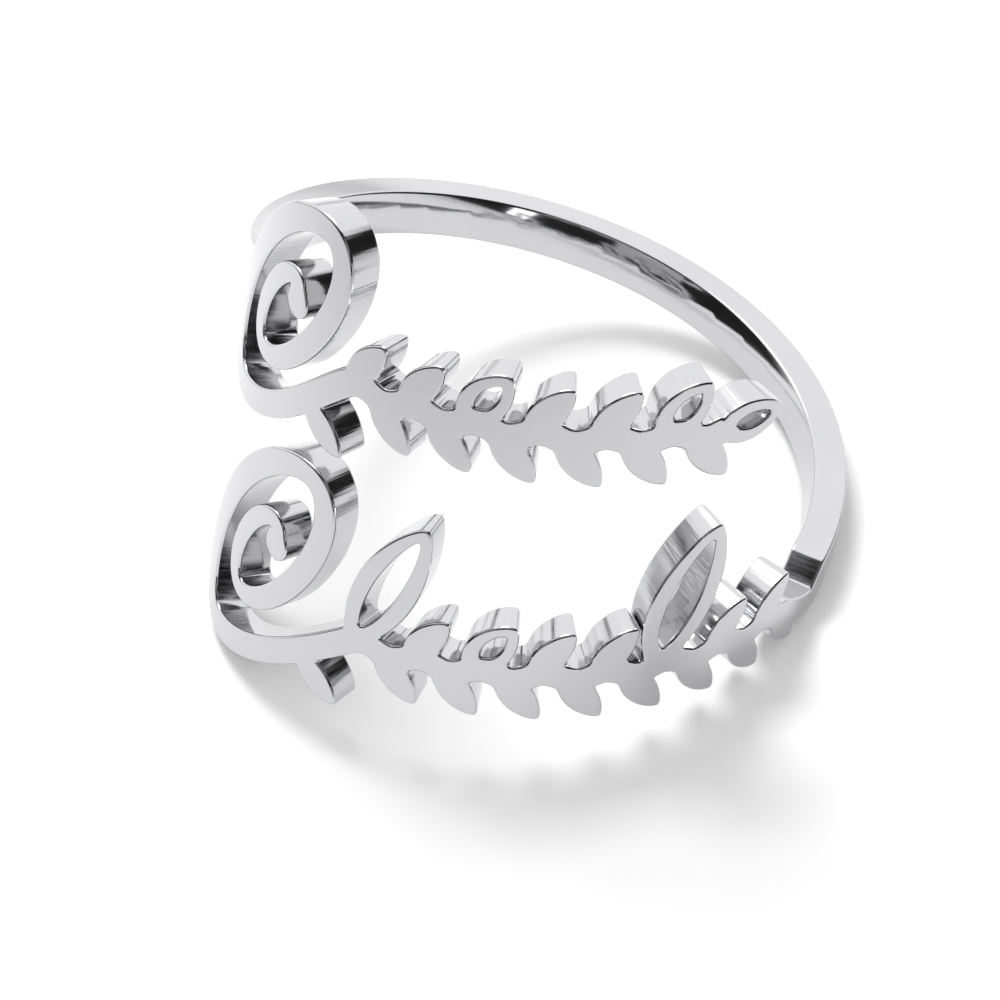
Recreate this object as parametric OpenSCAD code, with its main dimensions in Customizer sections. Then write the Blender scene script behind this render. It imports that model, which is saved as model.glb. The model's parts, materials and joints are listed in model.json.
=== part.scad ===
// Open wrap ring, cut from one flat strip and rolled round the finger.
// The plain middle of the strip is the band round the back.
// Both ends of the strip are pierced leafy branches that pass each other at the front, one above the other.
// The ring stands as it lies on a table, tilted, with its lowest points at z = 0.

/* [Finger hole] */
// Inside diameter of the ring
hole_d = 17.3; // [16.3:0.1:18.9]
// Thickness of the strip, which is the depth of every pierced wall
strip_t = 1.1; // [0.8:0.05:1.4]

/* [Band] */
// Height of the plain band along the ring's axis
band_h = 1.58; // [1.2:0.02:2.2]
// Drop of the band along the axis for each radian that it goes round
band_drop = 1.37; // [1.1:0.01:1.5]
// Extra drop towards both ends, for each cubed radian
band_bend = 0.12; // [0:0.01:0.14]

/* [Branches] */
// Width of the stem
stem_w = 0.88; // [0.76:0.02:0.92]
// Angle between a leaf and the stem
leaf_angle = 50; // [47:1:54]
// Length of a leaf from the middle of the stem to its tip
leaf_length = 2; // [1.8:0.05:2.1]
// Widest part of a leaf
leaf_w = 1; // [0.8:0.02:1.04]
// Length of an open leaf from the middle of the stem to its tip
open_length = 2.2; // [2:0.05:2.3]
// Widest part of an open leaf
open_w = 1.36; // [1.24:0.02:1.4]
// Width of the rim round the hole of an open leaf
leaf_rim = 0.44; // [0.38:0.02:0.48]
// Width of the rim round the hole of a tall leaf
tall_rim = 0.56; // [0.5:0.02:0.62]
// Distance along the stem from one leaf to the next on the same side
leaf_pitch = 1.84; // [1.8:0.01:1.88]

/* [Volutes] */
// Lean of the volutes to the right, in degrees
volute_lean = 30; // [26:1:32]
// Stem width at the bottom and top of a volute
volute_thin = 0.88; // [0.7:0.02:1]
// Stem width at the left side of a volute
volute_thick = 1.08; // [1:0.02:1.16]
// Radius of the bead in the middle of a volute
bead_r = 0.54; // [0.5:0.02:0.58]

/* [Rest] */
// How far the ring leans back from the viewer as it lies
lean_back = 14.4; // [12:0.1:17]
// How far the ring leans down to the right as it lies
lean_right = 13.6; // [11:0.1:16]

/* [Hidden] */

// Middle of the ring as it lies, with its outline's middle over the origin and its lowest points on the table.
rest_middle = [0.93, 0.826, 6.263];

hole_r = hole_d / 2;
ring_r = hole_r + strip_t;
mm_per_deg = ring_r * PI / 180;

// Both branches, upper and lower. Each has a frame of its own, turned to rise along the strip.
// Columns: angle of the frame, height of the frame, rise in degrees, height of the stem, first and last leaf.
ANGLE = 0;
FOOT = 1;
RISE = 2;
STEM = 3;
FIRST = 4;
LAST = 5;
upper = [-40, 0.95, 6.4, 1.45, 1, 12.2];
lower = [-30 - 360, -7.25, 7.1, 1.5, 0.9, 15];

// The volutes at the left of the branches.
// Columns: middle across, middle up, half width, half height, both to the outside of the stem.
upper_volute = [-2.15, 2.65, 3.5, 4.33];
lower_volute = [-3.05, 3, 3.55, 4.69];

// Tall leaves of the lower branch. Columns: which leaf of the upper side, length, width, angle to the stem.
tall_leaves = [[0, 5.1, 1.9, 62], [5, 5.1, 2.1, 70]];

// Of the other leaves on the upper side of a stem, one in three is open, the third first.
open_every = 3;

// Every piece starts a little inside and ends a little outside the strip, and is then cut round.
inner_cut = hole_r - 0.15;
outer_cut = ring_r + 0.15;

// Places. On the flat strip, x runs along the outer face from the front and y up the ring's axis.
function turned(p, a) = [p[0] * cos(a) - p[1] * sin(a), p[0] * sin(a) + p[1] * cos(a)];
function on_strip(row, p) = [row[ANGLE] * mm_per_deg, row[FOOT]] + turned(p, row[RISE]);
function on_ring(p, r) = [r * sin(p[0] / mm_per_deg), -r * cos(p[0] / mm_per_deg), p[1]];

// Curves, as lists of points.
function bezier(a, b, c, d, n) = [for (i = [0:n])
    let (t = i / n, u = 1 - t) u * u * u * a + 3 * u * u * t * b + 3 * u * t * t * c + t * t * t * d];
function reversed(p) = [for (i = [len(p) - 1:-1:0]) p[i]];
function without_ends(p) = [for (i = [1:len(p) - 2]) p[i]];

// The two edges of a stroke along points, as wide at each as the list of widths says.
function along(p, i) = let (d = p[min(i + 1, len(p) - 1)] - p[max(i - 1, 0)]) d / norm(d);
function edge(p, w, s) = [for (i = [0:len(p) - 1]) let (d = along(p, i)) p[i] + s * w[i] / 2 * [-d[1], d[0]]];

// The solid between a left and a right edge on the strip, open-ended or closed into a loop.
module between(left, right, closed = false) {
    n = len(left);
    points = [for (i = [0:n - 1]) each [
        on_ring(left[i], inner_cut), on_ring(right[i], inner_cut),
        on_ring(right[i], outer_cut), on_ring(left[i], outer_cut)]];
    sides = [for (i = [0:closed ? n - 1 : n - 2], j = [0:3])
        let (a = 4 * i, b = 4 * ((i + 1) % n), k = (j + 1) % 4)
        each [[a + k, b + k, b + j], [a + k, b + j, a + j]]];
    last = 4 * (n - 1);
    ends = closed ? [] : [[3, 2, 1], [3, 1, 0], [last, last + 1, last + 2], [last, last + 2, last + 3]];
    intersection() {
        tube();
        polyhedron(points, concat(sides, ends));
    }
}

// The tube that the rolled strip is part of, with the two round faces.
module tube() {
    rotate([0, 0, 90]) difference() {
        translate([0, 0, -12]) cylinder(r = ring_r, h = 24, $fn = 180);
        translate([0, 0, -13]) cylinder(r = hole_r, h = 26, $fn = 180);
    }
}

// A volute turns from its foot round the left side and the top into its own middle.
volute_turn = 600;
volute_steps = 50;
function volute_at(v, t) = let (
    a = -90 - volute_turn * t,
    k = 1 - 0.85 * pow(t, 1.1),
    x = (v[2] - volute_thick / 2) * k * cos(a) + 0.05 * t * v[2],
    y = (v[3] - volute_thin / 2) * k * sin(a))
    [v[0] + x + y * tan(volute_lean), v[1] + y];
function volute(v) = [for (i = [0:volute_steps]) volute_at(v, i / volute_steps)];
volute_widths = [for (i = [0:volute_steps])
    let (t = i / volute_steps, a = -90 - volute_turn * t)
    (volute_thin + (volute_thick - volute_thin) * abs(cos(a))) * (1 - 0.45 * t)];

// The stem of a branch from its last leaf back to its first, then its root, then the volute.
stem_steps = 30;
root_steps = 8;
function stem_y(row, x) = row[STEM] + 0.12 * sin(360 * (x - row[FIRST]) / leaf_pitch);
function stem_at(row, x) = [x, stem_y(row, x)];
function stem(row) = [for (i = [stem_steps:-1:0])
    stem_at(row, row[FIRST] + (row[LAST] - row[FIRST]) * i / stem_steps)];
function root(row, v) = let (a = volute_at(v, 0), b = stem_at(row, row[FIRST]))
    bezier(b, b - [1.3, 0.85], a + [2.3, 0], a, root_steps);
function row_line(row, v) = [for (p = concat(stem(row), without_ends(root(row, v)), volute(v)))
    on_strip(row, p)];
row_widths = concat([for (i = [0:stem_steps + root_steps - 1]) stem_w], volute_widths);

// A round-tipped leaf that grows upwards from the origin, as a line up its left side and down its right.
leaf_steps = 9;
function leaf_at(i) = (1 - cos(180 * i / leaf_steps)) / 2;
function leaf_half(w, t) = w / 2 * pow(abs(sin(180 * pow(t, 0.9))), 0.62);
function leaf(length, w) = [for (i = [0:2 * leaf_steps - 1])
    let (up = i <= leaf_steps, t = leaf_at(up ? i : 2 * leaf_steps - i))
    [(up ? -1 : 1) * leaf_half(w, t), length * t]];
function grown(row, foot, angle, points) = [for (p = points) on_strip(row, foot + turned(p, angle - 90))];

// A leaf with a hole of its own shape.
module open_leaf(row, foot, angle, length, w, rim) {
    hole = leaf(length - stem_w / 2 - rim * 1.5, w - 2 * rim);
    between(
        grown(row, foot, angle, leaf(length, w)),
        grown(row, foot, angle, [for (p = hole) p + [0, stem_w / 2 + rim * 0.5]]),
        true);
}

// A leaf without a hole, blunt by a hair at both ends.
module whole_leaf(row, foot, angle) {
    t = [for (i = [0:leaf_steps]) 0.04 + 0.945 * leaf_at(i)];
    between(
        grown(row, foot, angle, [for (k = t) [-leaf_half(leaf_w, k), leaf_length * k]]),
        grown(row, foot, angle, [for (k = t) [leaf_half(leaf_w, k), leaf_length * k]]));
}

// Leaves on both sides of a stem, those below half a pitch after those above.
module leaves(row, tall) {
    count = floor((row[LAST] - row[FIRST]) / leaf_pitch);
    for (i = [0:count], way = [1, -1]) {
        x = row[FIRST] + (i + (way < 0 ? 0.5 : 0)) * leaf_pitch;
        if (x < row[LAST] - 0.2 && (way < 0 || len(search(i, tall)) == 0)) {
            if (way > 0 && i % open_every == open_every - 1)
                open_leaf(row, stem_at(row, x), leaf_angle, open_length, open_w, leaf_rim);
            else
                whole_leaf(row, stem_at(row, x), way * leaf_angle);
        }
    }
    for (l = tall)
        open_leaf(row, stem_at(row, row[FIRST] + l[0] * leaf_pitch), l[3], l[1], l[2], tall_rim);
}

// What grows round a volute: the bead in its middle and a leaf under its root.
module volute_dress(row, v) {
    a = [for (i = [0:8]) -80 + 20 * i];
    grown_bead = [for (s = [-1, 1]) grown(row, volute_at(v, 1), 90, [for (k = a) bead_r * [s * cos(k), sin(k)]])];
    between(grown_bead[0], grown_bead[1]);
    whole_leaf(row, root(row, v)[3], 12 - leaf_angle);
}

module upper_row() {
    line = row_line(upper, upper_volute);
    between(edge(line, row_widths, 1), edge(line, row_widths, -1));
    volute_dress(upper, upper_volute);
    leaves(upper, []);
    open_leaf(upper, stem_at(upper, upper[LAST] - 0.3), 10, open_length, open_w, leaf_rim);
}

// The plain band. Its angle is measured from the back of the ring, positive to the right.
function band_top(a) = let (b = a * PI / 180) -band_drop * b - band_bend * b * b * b;
function band_x(a) = -(180 + a) * mm_per_deg;
band_left = -180 - on_strip(upper, volute_at(upper_volute, 90 / volute_turn))[0] / mm_per_deg;
band_right = 108;
band_steps = 40;
band_angles = [for (i = [0:band_steps]) band_left + (band_right - band_left) * i / band_steps];

// The band and the lower row are one run of metal: band, slanting shoulder, tail, stem, root and volute.
module band_and_lower_row() {
    row = row_line(lower, lower_volute);
    foot = [band_x(band_right), band_top(band_right) - band_h];
    tail = without_ends(bezier(foot + [-0.2, stem_w / 2], foot + [-1.4, stem_w / 2 - 0.1], row[0] + [0.6, 0], row[0], 8));
    line = concat(tail, row);
    widths = concat([for (p = tail) stem_w], row_widths);
    between(
        concat([for (a = band_angles) [band_x(a), band_top(a) - band_h]], edge(line, widths, 1)),
        concat([for (a = band_angles) [band_x(a), band_top(a)]], edge(line, widths, -1)));
    volute_dress(lower, lower_volute);
    leaves(lower, tall_leaves);
}

module scroll_ring() {
    color("silver") translate(rest_middle) rotate([-lean_back, lean_right, 0]) {
        upper_row();
        band_and_lower_row();
    }
}

scroll_ring();
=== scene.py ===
"""Looks of an open wrap ring: one strip of polished silver with two pierced leafy rows at the front.

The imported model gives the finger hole, its place and its tilt as the ring lies on a table. The ring's
visible metal is drawn flat, in millimetres, as one pierced strip, and is then rolled round the hole.
"""

import json
import logging
import math
from collections.abc import Sequence
from dataclasses import dataclass
from enum import Enum

import bpy
import numpy as np
from mathutils import Euler, Matrix, Vector
from mathutils.geometry import delaunay_2d_cdt


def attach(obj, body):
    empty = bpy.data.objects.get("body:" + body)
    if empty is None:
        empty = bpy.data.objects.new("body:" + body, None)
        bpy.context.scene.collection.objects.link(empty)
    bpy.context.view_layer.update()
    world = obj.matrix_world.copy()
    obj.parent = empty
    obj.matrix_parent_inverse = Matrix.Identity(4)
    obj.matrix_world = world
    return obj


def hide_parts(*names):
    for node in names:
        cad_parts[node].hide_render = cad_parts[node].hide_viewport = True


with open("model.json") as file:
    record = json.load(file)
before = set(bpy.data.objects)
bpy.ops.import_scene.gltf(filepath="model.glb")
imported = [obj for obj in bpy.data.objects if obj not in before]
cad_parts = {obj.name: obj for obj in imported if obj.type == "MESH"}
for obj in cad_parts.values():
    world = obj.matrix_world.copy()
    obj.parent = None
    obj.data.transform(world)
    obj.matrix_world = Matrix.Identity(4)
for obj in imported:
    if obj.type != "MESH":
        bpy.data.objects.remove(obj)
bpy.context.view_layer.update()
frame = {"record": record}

log = logging.getLogger("ring")

Source = bpy.types.NodeSocket | float | Sequence[float]

MM = 0.001
NO_LENGTH = 1e-12
NO_SLOPE = 1e-9
SAME_PLACE = 1e-7


def turned(points: np.ndarray, degrees: float) -> np.ndarray:
    """Turns flat points round the origin.

    Args:
        points: one point or rows of points.
        degrees: how far they turn, counter-clockwise.

    Returns:
        The turned points.
    """
    a = math.radians(degrees)
    return np.asarray(points) @ np.array([[math.cos(a), math.sin(a)], [-math.sin(a), math.cos(a)]])


def bezier(a: np.ndarray, b: np.ndarray, c: np.ndarray, d: np.ndarray, t: np.ndarray) -> np.ndarray:
    """Points of a cubic curve from a to d at the shares t.

    Args:
        a: where it starts.
        b: what it leaves towards.
        c: what it arrives from.
        d: where it ends.
        t: shares of the way, from 0 to 1.

    Returns:
        The points, as rows.
    """
    t = np.atleast_1d(t)[:, None]
    u = 1 - t
    return u**3 * a + 3 * u * u * t * b + 3 * u * t * t * c + t**3 * d


def direction(azimuth: float, elevation: float) -> Vector:
    """The direction at an azimuth from the front, positive to the right, and an elevation, in degrees."""
    a, e = math.radians(azimuth), math.radians(elevation)
    return Vector((math.sin(a) * math.cos(e), -math.cos(a) * math.cos(e), math.sin(e)))


def edges(line: np.ndarray, widths: np.ndarray) -> tuple[np.ndarray, np.ndarray]:
    """The left and the right edge of a stroke.

    Args:
        line: the stroke's middle line, as rows of points.
        widths: its full width at each point.

    Returns:
        The left edge and the right edge.
    """
    step = np.vstack([line[1:], line[-1:]]) - np.vstack([line[:1], line[:-1]])
    step /= np.linalg.norm(step, axis=1)[:, None]
    across = np.column_stack([-step[:, 1], step[:, 0]]) * (widths / 2)[:, None]
    return line + across, line - across


class Side(Enum):
    """The side of its stem that a leaf grows on."""

    ABOVE = 1
    BELOW = -1


@dataclass(frozen=True)
class Volute:
    """A spiral at the left of a row: its middle and its half sizes, to the outside of the stem."""

    across: float
    up: float
    half_width: float
    half_height: float


@dataclass(frozen=True)
class TallLeaf:
    """A leaf that takes the place of the given one on the upper side of a stem."""

    index: int
    length: float
    width: float
    angle: float


@dataclass(frozen=True)
class Row:
    """One leafy row in a frame of its own, at a place on the strip and turned to rise along it."""

    angle: float
    foot: float
    rise: float
    stem: float
    first: float
    last: float
    volute: Volute
    tall: tuple[TallLeaf, ...] = ()


@dataclass(frozen=True)
class FlatStrip:
    """The strip before it is rolled, in millimetres: x along its outer face from the front, y up the axis."""

    hole_r: float
    thickness: float = 1.1
    band_height: float = 1.58
    band_drop: float = 1.37
    band_bend: float = 0.12
    band_right: float = 108
    band_steps: int = 160
    band_fade: float = 8
    band_fade_start: float = 4
    tail_lead: float = 0.2
    tail_pull: float = 1.4
    tail_dip: float = 0.1
    tail_end_pull: float = 0.6
    tail_start: float = 1 / 8
    tail_steps: int = 30
    stem_width: float = 0.88
    stem_wave: float = 0.12
    stem_steps: int = 150
    stem_end: float = 0.2
    root_pulls: tuple[tuple[float, float], ...] = ((-1.3, -0.85), (2.3, 0))
    root_steps: int = 32
    root_leaf_at: float = 3 / 8
    root_leaf_turn: float = 12
    leaf_angle: float = 50
    leaf_length: float = 2
    leaf_width: float = 1
    leaf_tip: float = 0.9
    leaf_fullness: float = 0.62
    leaf_steps: int = 40
    open_length: float = 2.2
    open_width: float = 1.36
    leaf_rim: float = 0.44
    tall_rim: float = 0.56
    leaf_pitch: float = 1.84
    open_every: int = 3
    end_leaf_back: float = 0.3
    end_leaf_angle: float = 10
    volute_lean: float = 30
    volute_turn: float = 600
    volute_shrink: float = 0.85
    volute_ease: float = 1.1
    volute_drift: float = 0.05
    volute_taper: float = 0.45
    volute_steps: int = 360
    volute_thin: float = 0.88
    volute_thick: float = 1.08
    bead_r: float = 0.54
    bead_steps: int = 64
    upper: Row = Row(-40, 0.95, 6.4, 1.45, 1, 12.2, Volute(-2.15, 2.65, 3.5, 4.33))
    lower: Row = Row(-390, -7.25, 7.1, 1.5, 0.9, 15, Volute(-3.05, 3, 3.55, 4.69),
                     (TallLeaf(0, 5.1, 1.9, 62), TallLeaf(5, 5.1, 2.1, 70)))

    @property
    def ring_r(self) -> float:
        """Radius of the outer face."""
        return self.hole_r + self.thickness

    @property
    def per_degree(self) -> float:
        """Length along the outer face for each degree."""
        return math.radians(self.ring_r)

    def placed(self, row: Row, points: np.ndarray) -> np.ndarray:
        """Points of a row's own frame, on the strip."""
        return np.array([row.angle * self.per_degree, row.foot]) + turned(points, row.rise)

    def volute_at(self, v: Volute, t: np.ndarray) -> np.ndarray:
        """Middle line of a volute, from its foot at t 0 into its own middle at t 1.

        Args:
            v: the volute.
            t: shares of its turn.

        Returns:
            The points in the row's frame.
        """
        t = np.atleast_1d(t)
        a = np.radians(-90 - self.volute_turn * t)
        shrink = 1 - self.volute_shrink * t**self.volute_ease
        drift = self.volute_drift * t * v.half_width
        x = (v.half_width - self.volute_thick / 2) * shrink * np.cos(a) + drift
        y = (v.half_height - self.volute_thin / 2) * shrink * np.sin(a)
        return np.column_stack([v.across + x + y * math.tan(math.radians(self.volute_lean)), v.up + y])

    def volute_widths(self, t: np.ndarray) -> np.ndarray:
        """Stem width round a volute, with a thick left side and a finer inner end.

        Args:
            t: shares of its turn.

        Returns:
            The full width at each.
        """
        a = np.radians(-90 - self.volute_turn * t)
        swell = (self.volute_thick - self.volute_thin) * np.abs(np.cos(a))
        return (self.volute_thin + swell) * (1 - self.volute_taper * t)

    def stem_at(self, row: Row, x: np.ndarray) -> np.ndarray:
        """Points of a row's gently waving stem.

        Args:
            row: the row.
            x: places along it.

        Returns:
            The points in the row's frame.
        """
        x = np.atleast_1d(x).astype(float)
        wave = np.sin(2 * math.pi * (x - row.first) / self.leaf_pitch)
        return np.column_stack([x, row.stem + self.stem_wave * wave])

    def root_at(self, row: Row, t: np.ndarray) -> np.ndarray:
        """Points of the stem's root, which swings from the first leaf down into the volute.

        Args:
            row: the row.
            t: shares of the way.

        Returns:
            The points in the row's frame.
        """
        start = self.stem_at(row, row.first)[0]
        end = self.volute_at(row.volute, 0)[0]
        return bezier(start, start + self.root_pulls[0], end + self.root_pulls[1], end, t)

    def row_line(self, row: Row) -> tuple[np.ndarray, np.ndarray]:
        """One stroke from the row's right end to the middle of its volute.

        Args:
            row: the row.

        Returns:
            Its middle line on the strip, and its width at each point.
        """
        stem = self.stem_at(row, np.linspace(row.last, row.first, self.stem_steps))
        root = self.root_at(row, np.linspace(0, 1, self.root_steps)[1:-1])
        t = np.linspace(0, 1, self.volute_steps)
        line = self.placed(row, np.vstack([stem, root, self.volute_at(row.volute, t)]))
        return line, np.concatenate([np.full(len(stem) + len(root), self.stem_width), self.volute_widths(t)])

    def leaf(self, length: float, width: float) -> np.ndarray:
        """A round-tipped leaf that grows upwards from the origin, as a loop of points.

        Args:
            length: from its foot to its tip.
            width: its widest part.

        Returns:
            The loop.
        """
        up = (1 - np.cos(np.linspace(0, math.pi, self.leaf_steps + 1))) / 2
        t = np.concatenate([up, up[-2:0:-1]])
        side = np.where(np.arange(2 * self.leaf_steps) <= self.leaf_steps, -1, 1)
        half = width / 2 * np.abs(np.sin(math.pi * t**self.leaf_tip)) ** self.leaf_fullness
        return np.column_stack([side * half, length * t])

    def grown(self, row: Row, foot: np.ndarray, angle: float, points: np.ndarray) -> np.ndarray:
        """Points that grow upwards from the origin, turned and set on a row."""
        return self.placed(row, foot + turned(points, angle - 90))

    def open_leaf(self, row: Row, foot: np.ndarray, angle: float, length: float, width: float,
                  rim: float) -> list[np.ndarray]:
        """A leaf with a hole of its own shape, from half a rim past the stem to a rim short of the tip.

        Args:
            row: the row that it grows on.
            foot: its foot, on the middle line of the stem.
            angle: its angle in the row's frame.
            length: from its foot to its tip.
            width: its widest part.
            rim: width of the metal round its hole.

        Returns:
            The loops of its outline and its hole.
        """
        hole = self.leaf(length - self.stem_width / 2 - 1.5 * rim, width - 2 * rim)
        hole += [0, self.stem_width / 2 + rim / 2]
        return [self.grown(row, foot, angle, self.leaf(length, width)), self.grown(row, foot, angle, hole)]

    def whole_leaf(self, row: Row, foot: np.ndarray, angle: float) -> list[np.ndarray]:
        """A leaf without a hole."""
        return [self.grown(row, foot, angle, self.leaf(self.leaf_length, self.leaf_width))]

    def leaves(self, row: Row) -> list[list[np.ndarray]]:
        """The leaves on both sides of a row's stem, of which some on the upper side are tall or open.

        Args:
            row: the row.

        Returns:
            The leaves, as pieces.
        """
        tall = {leaf.index: leaf for leaf in row.tall}
        found = []
        for i in range(int((row.last - row.first) / self.leaf_pitch) + 1):
            for side in Side:
                x = row.first + (i + (0.5 if side is Side.BELOW else 0)) * self.leaf_pitch
                foot = self.stem_at(row, x)[0]
                if side is Side.ABOVE and i in tall:
                    big = tall[i]
                    found.append(self.open_leaf(row, foot, big.angle, big.length, big.width, self.tall_rim))
                elif x >= row.last - self.stem_end:
                    continue
                elif side is Side.ABOVE and i % self.open_every == self.open_every - 1:
                    found.append(self.open_leaf(row, foot, self.leaf_angle, self.open_length,
                                                self.open_width, self.leaf_rim))
                else:
                    found.append(self.whole_leaf(row, foot, side.value * self.leaf_angle))
        return found

    def volute_dress(self, row: Row) -> list[list[np.ndarray]]:
        """What grows round a volute: the bead in its middle and a leaf under its root.

        Args:
            row: the row that the volute begins.

        Returns:
            The bead and the leaf, as pieces.
        """
        turn = np.linspace(0, 2 * math.pi, self.bead_steps, endpoint=False)
        bead = self.bead_r * np.column_stack([np.cos(turn), np.sin(turn)])
        root = self.root_at(row, self.root_leaf_at)[0]
        return [[self.grown(row, self.volute_at(row.volute, 1)[0], 90, bead)],
                self.whole_leaf(row, root, self.root_leaf_turn - self.leaf_angle)]

    def upper_row(self) -> list[list[np.ndarray]]:
        """The upper row, whose volute carries the left end of the band.

        Returns:
            Its pieces.
        """
        left, right = edges(*self.row_line(self.upper))
        end = self.stem_at(self.upper, self.upper.last - self.end_leaf_back)[0]
        return [[np.vstack([left, right[::-1]])],
                self.open_leaf(self.upper, end, self.end_leaf_angle, self.open_length,
                               self.open_width, self.leaf_rim),
                *self.volute_dress(self.upper), *self.leaves(self.upper)]

    def band_top(self, degrees: np.ndarray) -> np.ndarray:
        """Height of the band's upper edge at an angle from the back, positive to the right."""
        b = np.radians(degrees)
        return -self.band_drop * b - self.band_bend * b**3

    def band_left(self) -> float:
        """Angle from the back at which the band ends, in the left side of the upper volute."""
        seam = self.placed(self.upper, self.volute_at(self.upper.volute, 90 / self.volute_turn))[0, 0]
        return -180 - seam / self.per_degree

    def from_back(self, flat: np.ndarray) -> np.ndarray:
        """Angle of each point from the back, positive to the right, for the band's side of the strip."""
        return -180 - flat[:, 0] / self.per_degree

    def band_share(self, flat: np.ndarray) -> np.ndarray:
        """How far each point belongs to the band, from 0 in the rows to 1 in the band.

        Args:
            flat: points of the strip.

        Returns:
            The share at each.
        """
        a = self.from_back(flat)
        room = np.minimum(a - self.band_left() - self.band_fade_start, self.band_right - a)
        share = np.clip(room / self.band_fade, 0, 1)
        return share * share * (3 - 2 * share)

    def band_and_lower_row(self) -> list[list[np.ndarray]]:
        """One run of metal: the band round the back, its slanting shoulder, and the lower row.

        Returns:
            Its pieces.
        """
        a = np.linspace(self.band_left(), self.band_right, self.band_steps)
        top = np.column_stack([-(180 + a) * self.per_degree, self.band_top(a)])
        bottom = top - [0, self.band_height]
        row, widths = self.row_line(self.lower)
        half = self.stem_width / 2
        foot = bottom[-1]
        tail = bezier(foot + [-self.tail_lead, half], foot + [-self.tail_pull, half - self.tail_dip],
                      row[0] + [self.tail_end_pull, 0], row[0],
                      np.linspace(self.tail_start, 1, self.tail_steps)[:-1])
        widths = np.concatenate([np.full(len(tail), self.stem_width), widths])
        left, right = edges(np.vstack([tail, row]), widths)
        outline = np.vstack([bottom, left, right[::-1], top[::-1]])
        return [[outline], *self.volute_dress(self.lower), *self.leaves(self.lower)]

    def pieces(self) -> list[list[np.ndarray]]:
        """Every piece of the strip. Each is a list of loops, of which the second is a hole."""
        return self.upper_row() + self.band_and_lower_row()


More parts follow.
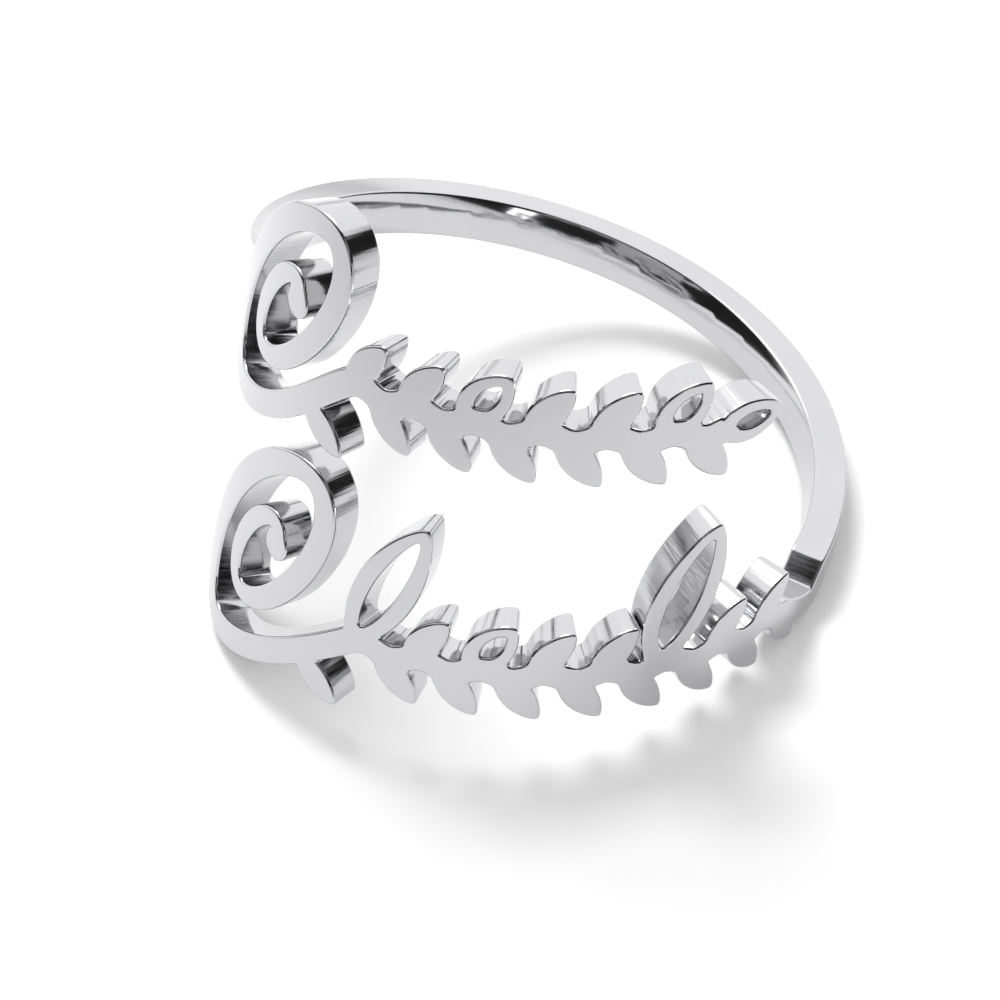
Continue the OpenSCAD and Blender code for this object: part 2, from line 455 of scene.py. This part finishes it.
@dataclass
class Field:
    """How deep every place of the flat strip lies in its metal, on a square grid, negative outside it."""

    low: np.ndarray
    high: np.ndarray
    pitch: float = 0.025
    reach: float = 0.5
    blend: float = 0.14
    blur: int = 3

    def __post_init__(self) -> None:
        """Starts with no metal anywhere."""
        nx, ny = (int(n) + 1 for n in np.ceil((self.high - self.low) / self.pitch))
        self.depth = np.full((ny, nx), -self.reach)

    def window(self, low: np.ndarray, high: np.ndarray) -> tuple[int, int, int, int]:
        """First and last column and row of the grid round a box, with a margin.

        Args:
            low: the box's low corner.
            high: the box's high corner.

        Returns:
            First column, last column, first row and last row.
        """
        a = np.floor((low - self.reach - self.low) / self.pitch).astype(int)
        b = np.ceil((high + self.reach - self.low) / self.pitch).astype(int) + 1
        return max(a[0], 0), min(b[0], self.depth.shape[1]), max(a[1], 0), min(b[1], self.depth.shape[0])

    def depth_of(self, loops: list[np.ndarray], view: tuple[int, int, int, int]) -> np.ndarray:
        """Depth in one piece over a window of the grid.

        Args:
            loops: the piece's outline and its holes.
            view: the window, as first and last column and row.

        Returns:
            The depth at each place of the window, at most the reach.
        """
        i0, i1, j0, j1 = view
        x = self.low[0] + self.pitch * np.arange(i0, i1)
        y = self.low[1] + self.pitch * np.arange(j0, j1)
        distance = np.full((len(y), len(x)), self.reach)
        flips = np.zeros((len(y), len(x) + 1), np.uint8)
        for loop in loops:
            for p, q in zip(loop, np.roll(loop, -1, axis=0)):
                a = np.searchsorted(x, min(p[0], q[0]) - self.reach)
                b = np.searchsorted(x, max(p[0], q[0]) + self.reach)
                c = np.searchsorted(y, min(p[1], q[1]) - self.reach)
                d = np.searchsorted(y, max(p[1], q[1]) + self.reach)
                step = q - p
                px, py = x[a:b] - p[0], y[c:d, None] - p[1]
                t = np.clip((px * step[0] + py * step[1]) / max(step @ step, NO_LENGTH), 0, 1)
                near = np.hypot(px - t * step[0], py - t * step[1])
                distance[c:d, a:b] = np.minimum(distance[c:d, a:b], near)
                rows = np.arange(np.searchsorted(y, min(p[1], q[1])), np.searchsorted(y, max(p[1], q[1])))
                if len(rows):
                    crossing = p[0] + (y[rows] - p[1]) * step[0] / step[1]
                    flips[rows, np.searchsorted(x, crossing)] ^= 1
        inside = np.bitwise_xor.accumulate(flips, axis=1)[:, :-1].astype(bool)
        return np.where(inside, distance, -distance)

    def add(self, loops: list[np.ndarray]) -> None:
        """Joins one piece to the metal, with a small fillet where the two meet.

        Args:
            loops: the piece's outline and its holes.
        """
        view = self.window(np.min([p.min(0) for p in loops], 0), np.max([p.max(0) for p in loops], 0))
        i0, i1, j0, j1 = view
        new, old = self.depth_of(loops, view), self.depth[j0:j1, i0:i1]
        near = np.clip(1 + np.minimum(new, old) / self.blend, 0, 1)
        fillet = np.clip(1 - np.abs(new - old) / self.blend, 0, 1) ** 2 * near * self.blend / 4
        self.depth[j0:j1, i0:i1] = np.maximum(new, old) + fillet

    def polish(self) -> None:
        """Softens every corner by a hair, as polishing does, and keeps the slopes."""
        d = self.depth
        for _ in range(self.blur):
            d = np.pad(d, 1, mode="edge")
            d = (d[:-2] + 2 * d[1:-1] + d[2:]) / 4
            d = (d[:, :-2] + 2 * d[:, 1:-1] + d[:, 2:]) / 4
        self.depth = d
        self.slope = np.gradient(d, self.pitch)

    def at(self, grid: np.ndarray, points: np.ndarray) -> np.ndarray:
        """Values of a grid at points, from the four nearest places.

        Args:
            grid: the grid.
            points: the points.

        Returns:
            The value at each.
        """
        g = (points - self.low) / self.pitch
        i = np.clip(g.astype(int), 0, np.array(grid.shape)[::-1] - 2)
        f = g - i
        a, b = grid[i[:, 1], i[:, 0]], grid[i[:, 1], i[:, 0] + 1]
        c, d = grid[i[:, 1] + 1, i[:, 0]], grid[i[:, 1] + 1, i[:, 0] + 1]
        return (a * (1 - f[:, 0]) + b * f[:, 0]) * (1 - f[:, 1]) + (c * (1 - f[:, 0]) + d * f[:, 0]) * f[:, 1]

    def outward(self, points: np.ndarray) -> np.ndarray:
        """The flat direction that leads out of the metal, at each point."""
        n = -np.column_stack([self.at(self.slope[1], points), self.at(self.slope[0], points)])
        return n / np.maximum(np.linalg.norm(n, axis=1), NO_SLOPE)[:, None]

    def contours(self, level: float) -> list[np.ndarray]:
        """The lines at one depth, each a closed loop with the metal on its left.

        Args:
            level: the depth.

        Returns:
            The loops, as rows of points.
        """
        s = self.depth > level
        ny, nx = s.shape
        case = s[:-1, :-1] + 2 * s[:-1, 1:] + 4 * s[1:, 1:] + 8 * s[1:, :-1]
        bottom, right, top, left = range(4)
        ways = {1: [(bottom, left)], 2: [(right, bottom)], 3: [(right, left)], 4: [(top, right)],
                5: [(bottom, left), (top, right)], 6: [(top, bottom)], 7: [(top, left)], 8: [(left, top)],
                9: [(bottom, top)], 10: [(right, bottom), (left, top)], 11: [(right, top)],
                12: [(left, right)], 13: [(bottom, right)], 14: [(left, bottom)]}
        follows = {}
        for kind, pairs in ways.items():
            j, i = np.nonzero(case == kind)
            here = 2 * (j * nx + i)
            sides = [here, here + 3, here + 2 * nx, here + 1]
            for start, end in pairs:
                follows.update(zip(sides[start].tolist(), sides[end].tolist()))
        loops = []
        while follows:
            first, following = follows.popitem()
            loop = [first]
            while following != first:
                loop.append(following)
                following = follows.pop(following)
            keys = np.array(loop)
            upright, cell = keys % 2, keys // 2
            j, i = cell // nx, cell % nx
            a = self.depth[j, i]
            b = self.depth[j + upright, i + 1 - upright]
            t = (level - a) / (b - a)
            loops.append(self.low + self.pitch * np.column_stack([i + t * (1 - upright), j + t * upright]))
        return loops

    def thinned(self, loop: np.ndarray, turn: float, longest: float) -> np.ndarray:
        """Leaves only the points of a loop that its shape needs.

        Args:
            loop: a dense loop.
            turn: how far the line may turn between two points, in degrees.
            longest: the longest straight step.

        Returns:
            The thinned loop.
        """
        normal = self.outward(loop)
        limit = math.cos(math.radians(turn))
        kept = [0]
        for i in range(1, len(loop)):
            last = kept[-1]
            far = math.dist(loop[i], loop[last])
            if (normal[i] @ normal[last] < limit and far > self.pitch) or far > longest:
                kept.append(i)
        return loop[kept]


@dataclass
class Ring:
    """The whole ring: a flat pierced strip with rounded edges, rolled round the finger hole."""

    strip: FlatStrip
    middle: Vector
    axis: Vector
    edge_r: float = 0.085
    crown: float = 0.06
    crown_slope: float = 0.34
    crown_middle: float = -0.2
    roundings: tuple[float, ...] = (0.0, 45.0, 90.0)
    turn: float = 5.0
    longest: float = 0.28
    shortest_loop: int = 12
    margin: float = 0.6
    grid_room: float = 0.1
    name: str = "ring_metal"

    def rest(self) -> Matrix:
        """The place and tilt of the ring as it lies on the table.

        Returns:
            The matrix.
        """
        back = -math.asin(self.axis.y)
        right = math.atan2(self.axis.x, self.axis.z)
        return Matrix.Translation(self.middle) @ Euler((back, right, 0)).to_matrix().to_4x4()

    def field(self) -> Field:
        """The strip's metal on a grid.

        Returns:
            The finished field.
        """
        pieces = self.strip.pieces()
        every = np.vstack([loop for piece in pieces for loop in piece])
        field = Field(every.min(0) - self.margin, every.max(0) + self.margin)
        for piece in pieces:
            field.add(piece)
        field.polish()
        return field

    def sheet(self, field: Field) -> tuple[np.ndarray, np.ndarray, np.ndarray]:
        """Triangles over the flat strip, with extra lines round every edge for its rounding.

        Args:
            field: the strip's metal.

        Returns:
            The points, the angle of the rounding at each in degrees, 0 on the wall and 90 on the
            face, and the triangles.
        """
        points, lines, angles = [], [], []
        count = 0
        for angle in self.roundings:
            for loop in field.contours(self.edge_r * (1 - math.cos(math.radians(angle)))):
                if len(loop) < self.shortest_loop:
                    continue
                loop = field.thinned(loop, self.turn, self.longest)
                n = len(loop)
                points.append(loop)
                angles.append(np.full(n, angle))
                lines += [(count + i, count + (i + 1) % n) for i in range(n)]
                count += n
        outline = sum(len(p) for p, a in zip(points, angles) if a[0] == self.roundings[0])
        step = self.longest * np.array([1.0, math.sqrt(3) / 2])
        nx, ny = ((field.high - field.low) / step).astype(int)
        i, j = np.meshgrid(np.arange(nx), np.arange(ny))
        grid = field.low + step * np.column_stack([(i + j % 2 / 2).ravel(), j.ravel()])
        grid = grid[field.at(field.depth, grid) > self.edge_r + self.grid_room]
        points.append(grid)
        angles.append(np.full(len(grid), self.roundings[-1]))
        flat = np.vstack(points)
        made = delaunay_2d_cdt([Vector(p) for p in flat], lines, [], 0, SAME_PLACE)
        source = [o[0] if o else -1 for o in made[3]]
        walls = {frozenset(e) for e, o in zip(made[1], made[4]) if any(k < outline for k in o)}
        inside = self.inside(made[2], walls)
        triangles = np.array([f for f, kept in zip(made[2], inside) if kept])
        return np.array([tuple(v) for v in made[0]]), np.concatenate(angles)[source], triangles

    @staticmethod
    def inside(triangles: list[list[int]], walls: set[frozenset[int]]) -> list[bool]:
        """Tells the triangles in the metal from those outside it, by stepping over the outline.

        Args:
            triangles: all triangles, out to a convex border.
            walls: the edges of the outline.

        Returns:
            For each triangle, whether it is in the metal.
        """
        beside: dict[frozenset[int], list[int]] = {}
        for k, t in enumerate(triangles):
            for a, b in zip(t, t[1:] + t[:1]):
                beside.setdefault(frozenset((a, b)), []).append(k)
        found: dict[int, bool] = {}
        todo = [(found_by[0], edge in walls) for edge, found_by in beside.items() if len(found_by) == 1]
        while todo:
            k, state = todo.pop()
            if k in found:
                continue
            found[k] = state
            t = triangles[k]
            for a, b in zip(t, t[1:] + t[:1]):
                edge = frozenset((a, b))
                todo += [(other, state != (edge in walls)) for other in beside[edge] if other not in found]
        return [found[k] for k in range(len(triangles))]

    def crowned(self, flat: np.ndarray) -> tuple[np.ndarray, np.ndarray]:
        """The soft crown of the band's inner side, which eases it over the finger.

        Its sheen turns further than its shape falls back, as polishing leaves it.

        Args:
            flat: points of the strip.

        Returns:
            How far the inner side falls back from the finger at each point, and its slope up the axis.
        """
        strip = self.strip
        share = strip.band_share(flat)
        u = np.clip(2 * (flat[:, 1] - strip.band_top(strip.from_back(flat))) / strip.band_height + 1, -1, 1)
        off = (u - self.crown_middle) / (1 - self.crown_middle)
        return self.crown * share * off * off, self.crown_slope * share * off

    def rolled(self, flat: np.ndarray, outward: np.ndarray, angles: np.ndarray,
               outer: bool) -> tuple[np.ndarray, np.ndarray]:
        """Rolls one face of the strip round the hole.

        Args:
            flat: the points.
            outward: the flat direction out of the metal at each.
            angles: the angle of the rounding at each, in degrees.
            outer: whether this is the outer face.

        Returns:
            The places and the normals, in millimetres from the ring's middle.
        """
        bend = flat[:, 0] / self.strip.ring_r
        lift = np.radians(angles)
        sink = self.edge_r * (1 - np.sin(lift))
        hollow, slope = self.crowned(flat)
        r = self.strip.ring_r - sink if outer else self.strip.hole_r + sink + hollow
        radial = np.column_stack([np.sin(bend), -np.cos(bend), np.zeros(len(flat))])
        tangent = np.column_stack([np.cos(bend), np.sin(bend), np.zeros(len(flat))])
        place = radial * r[:, None] + np.column_stack([np.zeros((len(flat), 2)), flat[:, 1]])
        side = tangent * outward[:, :1]
        side[:, 2] = outward[:, 1] * r / self.strip.ring_r
        side /= np.linalg.norm(side, axis=1)[:, None]
        face = radial if outer else np.column_stack([-radial[:, :2], slope])
        normal = side * np.cos(lift)[:, None] + face * np.sin(lift)[:, None]
        return place, normal / np.linalg.norm(normal, axis=1)[:, None]

    @staticmethod
    def shell(triangles: np.ndarray, count: int) -> tuple[list[list[int]], np.ndarray]:
        """Closes the outer and the inner face of the strip with walls.

        Args:
            triangles: the triangles over the flat strip.
            count: how many points the flat strip has.

        Returns:
            The shell's faces, and which of the outer and then the inner points they use, in their order.
        """
        sides = np.vstack([triangles[:, [0, 1]], triangles[:, [1, 2]], triangles[:, [2, 0]]])
        there = {(a, b) for a, b in sides.tolist()}
        rim = sorted((a, b) for a, b in there if (b, a) not in there)
        faces = triangles.tolist() + (triangles[:, ::-1] + count).tolist()
        faces += [(b, a, a + count, b + count) for a, b in rim]
        used, index = np.unique([v for f in faces for v in f], return_inverse=True)
        ends = np.cumsum([len(f) for f in faces])[:-1]
        return [part.tolist() for part in np.split(index, ends)], used

    def build(self) -> bpy.types.Object:
        """Makes the ring's mesh.

        A pierced strip of this many loops has no primitive to start from, so it is made in mesh code.

        Returns:
            The object, at the origin, with its place in its mesh.
        """
        field = self.field()
        flat, angles, triangles = self.sheet(field)
        outward = field.outward(flat)
        outer_place, outer_normal = self.rolled(flat, outward, angles, True)
        inner_place, inner_normal = self.rolled(flat, outward, angles, False)
        faces, used = self.shell(triangles, len(flat))
        rest = np.array(self.rest())
        place = np.vstack([outer_place, inner_place])[used] * MM @ rest[:3, :3].T + rest[:3, 3]
        normal = np.vstack([outer_normal, inner_normal])[used] @ rest[:3, :3].T
        mesh = bpy.data.meshes.new(self.name)
        mesh.from_pydata(place, [], faces)
        mesh.polygons.foreach_set("use_smooth", np.ones(len(faces), bool))
        for name, values in (("wall", np.cos(np.radians(angles))), ("band", self.strip.band_share(flat))):
            mesh.attributes.new(name, "FLOAT", "POINT").data.foreach_set(
                "value", np.tile(values, 2)[used].astype(np.float32))
        high = np.repeat([self.strip.thickness, 0], len(flat))
        strip_place = np.column_stack([np.tile(flat, (2, 1)), high])[used]
        mesh.attributes.new("strip_place", "FLOAT_VECTOR", "POINT").data.foreach_set(
            "vector", strip_place.astype(np.float32).ravel())
        mesh.update()
        mesh.normals_split_custom_set_from_vertices(normal)
        ring = bpy.data.objects.new(self.name, mesh)
        bpy.context.scene.collection.objects.link(ring)
        log.info("%s: %d vertices, %d faces", self.name, len(mesh.vertices), len(mesh.polygons))
        return ring


class Nodes:
    """The node tree of a material or a world, built up node by node."""

    def __init__(self, owner: bpy.types.Material | bpy.types.World) -> None:
        """Starts with the nodes of a new material or world."""
        owner.use_nodes = True
        self.tree = owner.node_tree

    def feed(self, source: Source, target: bpy.types.NodeSocket) -> None:
        """Joins an output to an input, or sets the input to a plain value.

        Args:
            source: the output or the value.
            target: the input.
        """
        if isinstance(source, bpy.types.NodeSocket):
            self.tree.links.new(source, target)
        else:
            target.default_value = source

    def add(self, kind: str, inputs: dict[str | int, Source] | None = None,
            **settings: str) -> bpy.types.Node:
        """Adds a node.

        Args:
            kind: the node's type, without its prefix.
            inputs: what feeds its inputs, by their names or their numbers.
            settings: its settings.

        Returns:
            The node.
        """
        node = self.tree.nodes.new("ShaderNode" + kind)
        for key, value in settings.items():
            setattr(node, key, value)
        for key, source in (inputs or {}).items():
            self.feed(source, node.inputs[key])
        return node

    def attribute(self, name: str, output: str = "Fac") -> bpy.types.NodeSocket:
        """Reads an attribute of the mesh."""
        return self.add("Attribute", attribute_name=name).outputs[output]

    def noise(self, place: bpy.types.NodeSocket, scale: float, detail: float) -> bpy.types.NodeSocket:
        """Noise from 0 to 1 over a place."""
        return self.add("TexNoise", {"Vector": place, "Scale": scale, "Detail": detail}).outputs["Fac"]

    def remap(self, value: bpy.types.NodeSocket, low: float, high: float, to_low: float,
              to_high: float, **settings: str) -> bpy.types.NodeSocket:
        """Stretches a value from one range to another."""
        inputs = {"Value": value, "From Min": low, "From Max": high, "To Min": to_low, "To Max": to_high}
        return self.add("MapRange", inputs, **settings).outputs["Result"]

    def contrast(self, value: bpy.types.NodeSocket, times: float) -> bpy.types.NodeSocket:
        """Makes a value's distance from its middle, 0.5, this many times as large."""
        return self.remap(value, 0, 1, 0.5 - times / 2, 0.5 + times / 2)

    def blend(self, share: bpy.types.NodeSocket, a: Source, b: Source) -> bpy.types.NodeSocket:
        """A value that goes from a to b with the share."""
        return self.add("Mix", {0: share, 2: a, 3: b}, data_type="FLOAT").outputs[0]

    def tint(self, value: bpy.types.NodeSocket, tone: tuple[float, ...],
             spread: float) -> bpy.types.NodeSocket:
        """A tone that gets a little lighter with a value.

        Args:
            value: the value, from 0 to 1.
            tone: the middle tone.
            spread: how far it goes to both sides, as a share of itself.

        Returns:
            The colour.
        """
        ramp = self.add("ValToRGB", {"Fac": value})
        for stop, share in zip(ramp.color_ramp.elements, (1 - spread, 1 + spread)):
            stop.color = (*[c * share for c in tone], 1)
        return ramp.outputs["Color"]


class Finish(Nodes):
    """A material's node tree round its Principled shader."""

    def __init__(self, name: str) -> None:
        """Starts a new material.

        Args:
            name: its name.
        """
        self.material = bpy.data.materials.new(name)
        super().__init__(self.material)
        self.shader = self.tree.nodes["Principled BSDF"]

    def shade(self, inputs: dict[str, Source]) -> bpy.types.Material:
        """Feeds the shader.

        Args:
            inputs: what feeds its inputs, by their names.

        Returns:
            The finished material.
        """
        for key, source in inputs.items():
            self.feed(source, self.shader.inputs[key])
        return self.material


@dataclass(frozen=True)
class PolishedSilver:
    """Polished silver: smooth faces with hairline scratches, and cut walls with fine lines across them.

    Its scales are for each millimetre of the strip.
    """

    tone: tuple[float, float, float] = (0.555, 0.555, 0.567)
    tone_spread: float = 0.03
    face_roughness: float = 0.16
    band_roughness: float = 0.1
    wall_roughness: float = 0.08
    rough_spread: float = 0.15
    rough_lines: float = 2.2
    cloud_scale: float = 0.45
    cloud_range: tuple[float, float] = (0.3, 0.7)
    hair_scale: tuple[float, float, float] = (1.2, 26, 1)
    hair_turn: float = 0.35
    face_hairs: float = 0.12
    band_hairs: float = 0.03
    line_scale: tuple[float, float, float] = (9, 9, 0.35)
    quiet_lines: float = 0.3
    deep_lines: float = 2.2
    band_lines: float = 0.04
    line_range: tuple[float, float] = (0.35, 0.7)
    patch_scale: float = 0.8
    patch_range: tuple[float, float] = (0.45, 0.6)
    patch_least: float = 0.35
    bump_strength: float = 0.25
    bump_depth: float = 0.02

    def rough(self, n: Nodes, clouds: bpy.types.NodeSocket, middle: float) -> bpy.types.NodeSocket:
        """Roughness of a face, a little uneven."""
        spread = middle * self.rough_spread
        return n.remap(clouds, *self.cloud_range, middle - spread, middle + spread)

    def cut_lines(self, n: Nodes, place: bpy.types.NodeSocket,
                  band: bpy.types.NodeSocket) -> bpy.types.NodeSocket:
        """The cutting lines across the walls, deep in patches and nearly polished away on the band.

        Args:
            n: the finish's nodes.
            place: the place on the strip.
            band: how far it belongs to the band.

        Returns:
            The height of the lines, from 0 to 1 or a little past both.
        """
        across = n.add("Mapping", {"Vector": place, "Scale": self.line_scale}).outputs[0]
        lines = n.noise(across, 1, 3)
        patches = n.remap(n.noise(place, self.patch_scale, 1), *self.patch_range, self.patch_least, 1)
        lines = n.blend(patches, n.contrast(lines, self.quiet_lines), n.contrast(lines, self.deep_lines))
        return n.blend(band, lines, n.contrast(lines, self.band_lines))

    def material(self) -> bpy.types.Material:
        """The finish as a node material, which reads the place on the strip.

        Returns:
            The material.
        """
        n = Finish("polished_silver")
        place = n.attribute("strip_place", "Vector")
        wall, band = n.attribute("wall"), n.attribute("band")
        lines = self.cut_lines(n, place, band)
        clouds = n.noise(place, self.cloud_scale, 2)
        along = n.add("Mapping", {"Vector": place, "Scale": self.hair_scale,
                                  "Rotation": (0, 0, self.hair_turn)}).outputs[0]
        hairs = n.noise(along, 1, 2)
        hairs = n.blend(band, *(n.remap(hairs, 0, 1, 0, deep) for deep in (self.face_hairs, self.band_hairs)))
        face = n.blend(band, *(self.rough(n, clouds, r) for r in (self.face_roughness, self.band_roughness)))
        cut = n.remap(lines, *self.line_range, self.wall_roughness, self.wall_roughness * self.rough_lines)
        bump = n.add("Bump", {"Height": n.blend(wall, hairs, lines), "Strength": self.bump_strength,
                              "Distance": self.bump_depth * MM})
        return n.shade({"Base Color": n.tint(clouds, self.tone, self.tone_spread), "Metallic": 1,
                        "Roughness": n.blend(wall, face, cut), "Normal": bump.outputs["Normal"]})


@dataclass(frozen=True)
class PaleTable:
    """A matt pale table top with a faint grain and a painted pool of light: its colour darkens far from the
    ring.
    """

    tone: float = 0.95
    # painted pool of light: the colour goes from tone near the ring to a darker tone far from it, in place of
    # light that falls off
    painted_pool_far_tone: float = 0.82
    near: float = 0.032
    far: float = 0.1
    grain_scale: float = 900
    grain_spread: float = 0.01
    roughness: float = 0.85
    sheen: float = 0.2

    def material(self) -> bpy.types.Material:
        """The finish as a node material.

        Returns:
            The material.
        """
        n = Finish("pale_table_painted_pool")
        place = n.add("TexCoord").outputs["Object"]
        grain = n.tint(n.noise(place, self.grain_scale, 3), (1, 1, 1), self.grain_spread)
        away = n.add("VectorMath", {0: place}, operation="LENGTH").outputs["Value"]
        # painted pool of light: the colour darkens with distance from the ring, standing in for light that
        # falls off there
        tone = n.remap(away, self.near, self.far, self.tone, self.painted_pool_far_tone)
        shade = n.add("VectorMath", {0: grain, 1: tone}, operation="MULTIPLY").outputs["Vector"]
        return n.shade({"Base Color": shade, "Roughness": self.roughness, "Specular IOR Level": self.sheen})


@dataclass(frozen=True)
class Softbox:
    """A square of soft light that hangs at a direction from the ring."""

    name: str
    azimuth: float
    elevation: float
    distance: float
    width: float
    height: float
    radiance: float

    def hang(self) -> None:
        """Hangs the light, turned to the ring."""
        light = bpy.data.lights.new(self.name, "AREA")
        light.shape = "RECTANGLE"
        light.size, light.size_y = self.width, self.height
        light.energy = self.radiance * self.width * self.height * math.pi
        away = direction(self.azimuth, self.elevation)
        lamp = bpy.data.objects.new(self.name, light)
        lamp.location = away * self.distance
        lamp.rotation_euler = away.to_track_quat("Z", "Y").to_euler()
        lamp.visible_camera = False
        bpy.context.scene.collection.objects.link(lamp)


@dataclass(frozen=True)
class Studio:
    """The table, the soft light and the camera."""

    ring: Ring
    table_size: float = 0.8
    elevation: float = 33.738
    roll: float = 11.76
    focus_px: float = 2789.9
    frame_px: float = 1000.0
    sensor: float = 36.0
    clip: tuple[float, float] = (0.002, 10.0)
    distance: float = 85.483
    right: float = 1.6996
    above: float = 4.4186
    window_azimuth: float = 198
    window_elevation: float = 35
    window: tuple[float, float, float, float] = (0.3, 0.62, 0.02, 1.33)
    fill: float = 0.71
    backdrop: float = 0.7
    boxes: tuple[Softbox, ...] = (
        Softbox("overhead", 206, 63, 0.13, 0.052, 0.046, 13.2),
        Softbox("front_window", 28, 9, 0.4, 0.06, 0.1, 2.5),
        Softbox("front_card", -27, 22, 0.4, 0.21, 0.155, 0.5),
        Softbox("top_card", 15, 50, 0.4, 0.3, 0.2, 0.3),
    )

    def table(self) -> bpy.types.Object:
        """The table top under the ring.

        Returns:
            The table top.
        """
        bpy.ops.mesh.primitive_plane_add(size=self.table_size, location=(0, 0, 0))
        top = bpy.context.object
        top.name = "table_top"
        top.data.materials.append(PaleTable().material())
        return top

    def light(self) -> None:
        """The room and its soft boxes.

        Mirrored in the metal, the room is bright towards the window behind the ring and dark elsewhere,
        which draws the polished edges. It lights matt things evenly, and is plain and pale to the camera.
        """
        world = bpy.data.worlds.new("pale_room")
        n = Nodes(world)
        way = n.add("TexCoord").outputs["Generated"]
        window = direction(self.window_azimuth, self.window_elevation)
        facing = n.add("VectorMath", {0: way, 1: window}, operation="DOT_PRODUCT").outputs["Value"]
        strength = n.remap(facing, *self.window, interpolation_type="SMOOTHSTEP")
        path = n.add("LightPath")
        for ray, seen in (("Is Diffuse Ray", self.fill), ("Is Camera Ray", self.backdrop)):
            strength = n.blend(path.outputs[ray], strength, seen)
        room = n.tree.nodes["Background"]
        n.feed(strength, room.inputs["Strength"])
        n.feed((1, 1, 1, 1), room.inputs["Color"])
        bpy.context.scene.world = world
        bpy.context.scene.view_settings.view_transform = "Standard"
        for box in self.boxes:
            box.hang()

    def camera(self) -> None:
        """The camera, at the place that shows the ring as in a view from the front and above."""
        lens = bpy.data.cameras.new("camera")
        lens.sensor_width = self.sensor
        lens.lens = self.focus_px / self.frame_px * lens.sensor_width
        lens.clip_start, lens.clip_end = self.clip
        e, r = math.radians(self.elevation), math.radians(self.roll)
        back = Vector((0, -math.cos(e), math.sin(e)))
        level_up = Vector((0, math.sin(e), math.cos(e)))
        across = Vector((math.cos(r), 0, 0)) + math.sin(r) * level_up
        up = Vector((-math.sin(r), 0, 0)) + math.cos(r) * level_up
        place = (self.distance * back - self.right * across - self.above * up) * MM
        seat = Matrix([across, up, back]).transposed().to_4x4()
        seat.translation = place
        camera = bpy.data.objects.new("camera", lens)
        camera.matrix_world = self.ring.rest() @ seat
        bpy.context.scene.collection.objects.link(camera)
        bpy.context.scene.camera = camera


def main() -> None:
    """Builds the ring and its studio in order."""
    logging.basicConfig(level=logging.INFO, format="%(name)s: %(message)s")
    hole = next(m for m in frame["record"]["mounts"] if m["name"] == "finger_hole")
    strip = FlatStrip(hole_r=hole["dims"]["r_mm"])
    ring = Ring(strip, Vector(hole["pos_m"]), Vector(hole["axis"]))
    metal = ring.build()
    metal.data.materials.append(PolishedSilver().material())
    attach(metal, "root")
    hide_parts("scroll_ring")
    studio = Studio(ring)
    studio.table()
    studio.light()
    studio.camera()
    log.info("colours: %s", bpy.context.scene.view_settings.view_transform)


if __name__ == "__main__":
    main()
